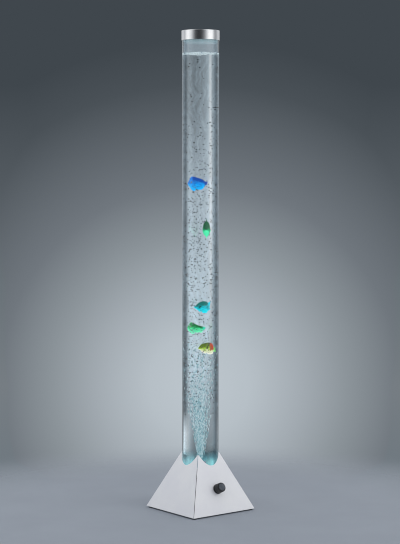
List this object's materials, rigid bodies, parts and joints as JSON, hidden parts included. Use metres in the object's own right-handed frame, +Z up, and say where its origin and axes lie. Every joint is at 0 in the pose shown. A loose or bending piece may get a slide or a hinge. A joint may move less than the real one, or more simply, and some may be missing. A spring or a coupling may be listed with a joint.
{
  "type": "bubble tube floor lamp",
  "caption": "Upright floor lamp: a water-filled clear tube with a metal cap on a pyramid base with a dimmer knob; small fish drift inside over an air stone.",
  "frame": {"origin": "on the floor under the tube's axis, at the centre of the base", "axes": "+Z up along the tube; -Y out of the face with the dimmer knob; +Y out of the face with the power inlet"},
  "size_m": [0.196, 0.196, 1.2],
  "materials": {
    "cap_metal": "turned and polished, with a fine brushed line",
    "lid_acrylic": "milky translucent",
    "seal_rubber": "soft clear silicone",
    "tube_acrylic": "clear polished",
    "floor_acrylic": "clear, sanded underneath",
    "black_rubber": "matt moulded",
    "black_plastic": "fine moulded grain",
    "deck_plate": "zinc grey coat",
    "turned_steel": "bright turned",
    "strip_black": "black enamel",
    "diffuser_sheet": "opal",
    "circuit_board": "lacquered board",
    "emitter": "white package with a clear lens",
    "white_plastic": "moulded",
    "stone": "sintered grit",
    "silicone_hose": "soft translucent",
    "valve_plastic": "clear tinted",
    "arm_steel": "passivated sheet",
    "magnet": "pressed ferrite",
    "core_steel": "stacked sheet",
    "winding": "enamelled wire",
    "shell_coat": "satin silver-white powder coat",
    "knob_plastic": "satin black moulded",
    "knob_disc": "dark anodised, spun",
    "dimmer_body": "moulded",
    "board_mix": "connectors and components",
    "brass": "turned",
    "lead_black": "soft insulated wire",
    "lead_grey": "soft insulated wire",
    "lead_white": "soft insulated wire",
    "fish_blue": "moulded, painted dark on the back",
    "fish_green": "moulded, painted dark on the back",
    "fish_cyan": "moulded, painted dark on the back",
    "fish_mint": "moulded, painted dark on the back",
    "fish_gold": "moulded, painted with dark bars and a red patch"
  },
  "bodies": {
    "base": {"tube": "tube_acrylic", "tube_floor": "floor_acrylic", "tube_gasket": "black_rubber", "tube_socket": "black_plastic", "tube_deck": "deck_plate", "deck_posts": "turned_steel", "light_diffuser": "diffuser_sheet", "led_board": "circuit_board", "led_emitters": "emitter", "led_spacers": "white_plastic", "air_stone": "stone", "inlet_elbow": "white_plastic", "inlet_washer": "black_rubber", "inlet_nut": "white_plastic", "air_hose": "silicone_hose", "check_valve": "valve_plastic", "pump_hose": "silicone_hose", "pump_case": "white_plastic", "pump_cover": "white_plastic", "pump_feet": "black_rubber", "valve_block": "black_plastic", "pump_diaphragm": "black_rubber", "arm_pin": "turned_steel", "coil_core": "core_steel", "pump_coil": "winding", "shell_left": "shell_coat", "shell_right": "shell_coat", "front_seam_strip": "strip_black", "rear_seam_strip": "strip_black", "base_plate": "deck_plate", "base_screws": "turned_steel", "rubber_feet": "black_rubber", "dimmer_case": "dimmer_body", "dimmer_washer": "turned_steel", "dimmer_nut": "turned_steel", "control_board": "circuit_board", "board_parts": "board_mix", "board_standoffs": "brass", "power_inlet": "black_plastic", "inlet_ring_nut": "turned_steel", "power_lead": "lead_black", "light_lead": "lead_white", "pump_lead": "lead_grey", "dimmer_lead": "lead_grey"},
    "lid": {"cap_shell": "cap_metal", "lid_plug": "lid_acrylic", "lid_seal": "seal_rubber"},
    "knob": {"dimmer_knob": "knob_plastic", "knob_insert": "knob_disc", "knob_shaft": "turned_steel"},
    "arm": {"pump_arm": "arm_steel", "arm_magnet": "magnet"},
    "fish_blue": {"fish_blue": "fish_blue"},
    "fish_green": {"fish_green": "fish_green"},
    "fish_cyan": {"fish_cyan": "fish_cyan"},
    "fish_mint": {"fish_mint": "fish_mint"},
    "fish_gold": {"fish_gold": "fish_gold"}
  },
  "joints": [
    {"name": "lid_lift", "type": "slide", "parent": "base", "child": "lid", "axis": [0, 0, 1], "range_m": [0, 0.06]},
    {"name": "knob_turn", "type": "hinge", "parent": "base", "child": "knob", "pos_m": [-0.003, -0.07181, 0.061], "axis": [0, -0.9114, 0.4116], "range_deg": [-150, 150]},
    {"name": "arm_swing", "type": "hinge", "parent": "base", "child": "arm", "pos_m": [0.0375, -0.024, 0.027], "axis": [0, 0, 1], "range_deg": [-2.5, 2.5], "deforming": ["pump_diaphragm"]},
    {"name": "fish_blue_swim", "type": "slide", "parent": "base", "child": "fish_blue", "axis": [0, 0, 1], "range_m": [-0.035, 0.29]},
    {"name": "fish_green_swim", "type": "slide", "parent": "base", "child": "fish_green", "axis": [0, 0, 1], "range_m": [-0.073, 0.029]},
    {"name": "fish_cyan_swim", "type": "slide", "parent": "base", "child": "fish_cyan", "axis": [0, 0, 1], "range_m": [-0.36, 0.078]},
    {"name": "fish_mint_swim", "type": "slide", "parent": "base", "child": "fish_mint", "axis": [0, 0, 1], "range_m": [-0.3, 0.13]},
    {"name": "fish_gold_swim", "type": "slide", "parent": "base", "child": "fish_gold", "axis": [0, 0, 1], "range_m": [-0.25, 0.18]}
  ]
}
